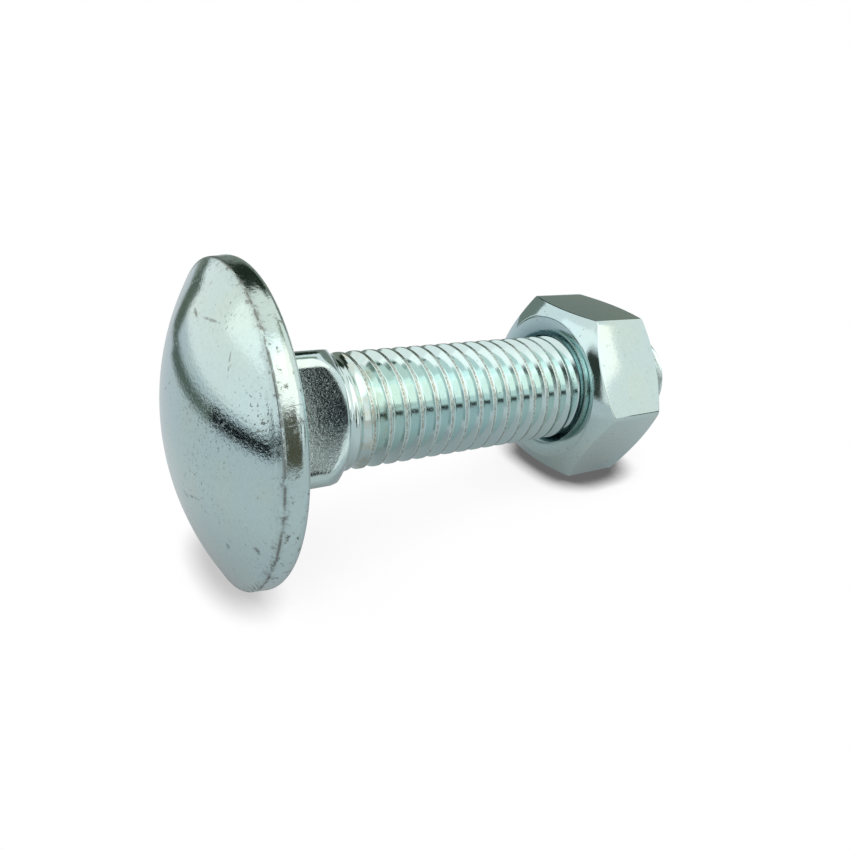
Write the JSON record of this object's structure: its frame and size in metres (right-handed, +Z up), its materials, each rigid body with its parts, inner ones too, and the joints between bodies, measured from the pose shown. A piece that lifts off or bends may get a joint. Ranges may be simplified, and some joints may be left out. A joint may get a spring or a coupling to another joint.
{
  "type": "cup head square neck bolt with hexagon nut",
  "caption": "Zinc plated bolt with a domed head, a square neck and a full thread, with a hexagon nut near its tip.",
  "frame": {"origin": "on the ground, under the middle of the whole", "axes": "+X along the length, from the head to the tip, and +Z up. The bolt's axis lies in the XZ plane and dips towards the tip, because the head's rim is wider than the nut"},
  "size_m": [0.0578, 0.0306, 0.0304],
  "materials": {
    "bolt_zinc": "bright zinc plating, pale blue, with scratches, pits and worn burrs",
    "nut_zinc": "bright zinc plating, pale blue, smooth"
  },
  "bodies": {
    "bolt": {"bolt": "bolt_zinc"},
    "nut": {"nut": "nut_zinc"}
  },
  "joints": [
    {"name": "nut_travel", "type": "slide", "parent": "bolt", "child": "nut", "axis": [0.9917, 0, -0.1286], "range_m": [-0.0245, 0.01225]}
  ]
}
